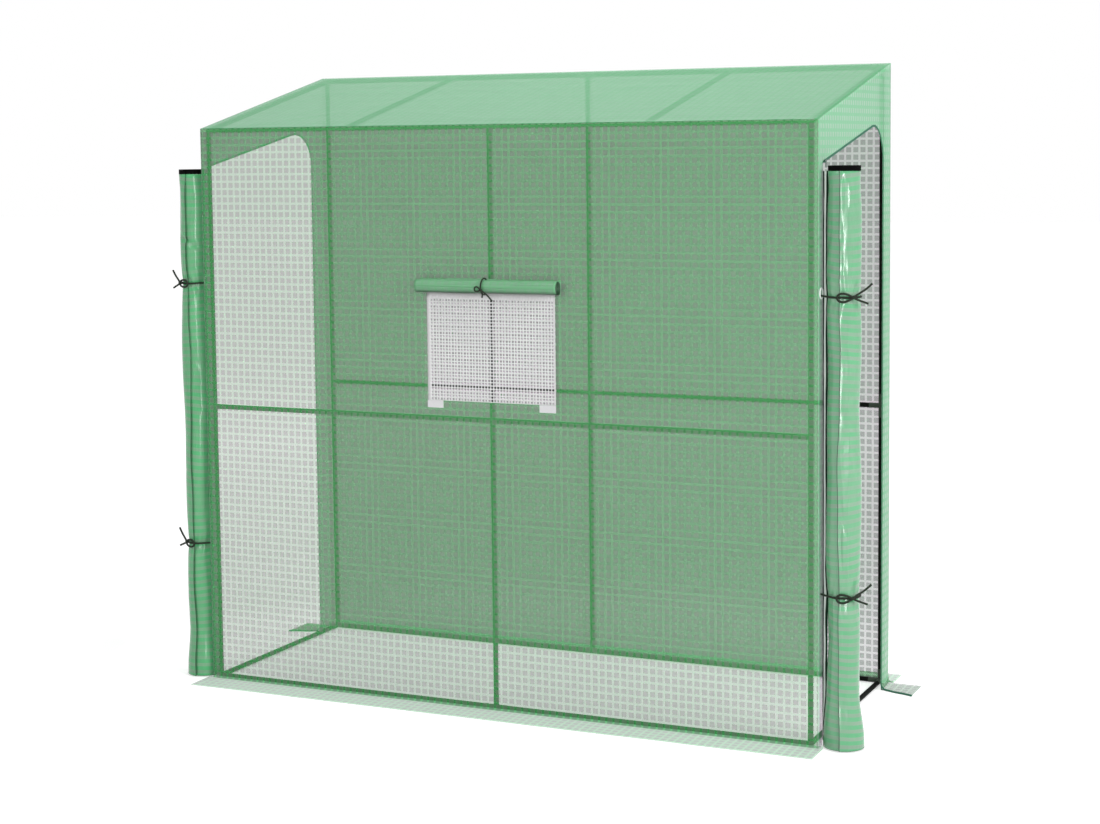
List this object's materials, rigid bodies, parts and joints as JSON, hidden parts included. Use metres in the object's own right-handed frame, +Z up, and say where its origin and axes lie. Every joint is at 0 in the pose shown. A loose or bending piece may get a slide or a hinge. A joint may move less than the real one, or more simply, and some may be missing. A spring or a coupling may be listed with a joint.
{
  "type": "lean to greenhouse",
  "caption": "Walk-in lean-to greenhouse: a tube frame under a green grid-film cover with a sloping roof, a netted window and a rolled-up zipped door at each end.",
  "frame": {"origin": "centre of the plan at ground level", "axes": "+X along the length of the greenhouse, +Y towards the wall it leans on, +Z up"},
  "size_m": [2.4816, 1.0408, 2.0851],
  "materials": {
    "black_tube": "powder coated, satin",
    "connector_plastic": "moulded, matt",
    "green_film": "woven grid laminated in translucent film",
    "white_net": "fine open net",
    "hook_and_loop": "felted tape",
    "zip_tape": "woven tape",
    "zip_slider": "enamelled",
    "black_hem": "woven tape",
    "tie_cord": "braided cord",
    "white_ring": "glossy"
  },
  "bodies": {
    "root": {"back_base_rail_left": "black_tube", "back_base_rail_right": "black_tube", "back_film": "green_film", "back_left_post_lower": "black_tube", "back_left_post_upper": "black_tube", "back_mid_rail_left": "black_tube", "back_mid_rail_right": "black_tube", "back_middle_post_lower": "black_tube", "back_middle_post_upper": "black_tube", "back_right_post_lower": "black_tube", "back_right_post_upper": "black_tube", "base_corner_connectors": "connector_plastic", "base_tee_connectors": "connector_plastic", "door_rings": "white_ring", "eave_corner_connectors": "connector_plastic", "eave_post_connector": "connector_plastic", "eave_rafter_connectors": "connector_plastic", "eave_rails": "black_tube", "front_base_rail_left": "black_tube", "front_base_rail_right": "black_tube", "front_film": "green_film", "front_left_post_lower": "black_tube", "front_left_post_upper": "black_tube", "front_mid_rail_left": "black_tube", "front_mid_rail_right": "black_tube", "front_middle_post_lower": "black_tube", "front_middle_post_upper": "black_tube", "front_right_post_lower": "black_tube", "front_right_post_upper": "black_tube", "ground_flaps": "green_film", "left_door_zip_tape": "zip_tape", "left_end_film": "green_film", "left_side_base_rail": "black_tube", "mid_cross_connectors": "connector_plastic", "mid_tee_connectors": "connector_plastic", "rafter_left_end": "black_tube", "rafter_left_inner": "black_tube", "rafter_right_end": "black_tube", "rafter_right_inner": "black_tube", "ridge_corner_connectors": "connector_plastic", "ridge_post_connector": "connector_plastic", "ridge_rafter_connectors": "connector_plastic", "ridge_rails": "black_tube", "right_door_zip_tape": "zip_tape", "right_end_film": "green_film", "right_side_base_rail": "black_tube", "roof_film": "green_film", "window_fastener_patches": "hook_and_loop", "window_net": "white_net"},
    "left_door": {"left_door_hem": "black_hem", "left_door_roll": "green_film", "left_door_ties": "tie_cord"},
    "right_door": {"right_door_hem": "black_hem", "right_door_roll": "green_film", "right_door_ties": "tie_cord"},
    "window_flap": {"window_flap_roll": "green_film", "window_tie": "tie_cord"},
    "left_zip": {"left_door_zip_slider": "zip_slider"},
    "right_zip": {"right_door_zip_slider": "zip_slider"}
  },
  "joints": [
    {"name": "left_door_swing", "type": "hinge", "parent": "root", "child": "left_door", "pos_m": [-1.0865, -0.36, 0.87], "axis": [0, 0, -1], "range_deg": [0, 25]},
    {"name": "right_door_swing", "type": "hinge", "parent": "root", "child": "right_door", "pos_m": [1.0865, -0.36, 0.87], "axis": [0, 0, 1], "range_deg": [0, 25]},
    {"name": "window_flap_lift", "type": "hinge", "parent": "root", "child": "window_flap", "pos_m": [0, -0.4062, 1.4045], "axis": [-1, 0, 0], "range_deg": [0, 75]},
    {"name": "left_zip_slide", "type": "slide", "parent": "root", "child": "left_zip", "axis": [0, 0.9806, 0.1961], "range_m": [0, 0.52]},
    {"name": "right_zip_slide", "type": "slide", "parent": "root", "child": "right_zip", "axis": [0, 0.9806, 0.1961], "range_m": [0, 0.52]}
  ]
}
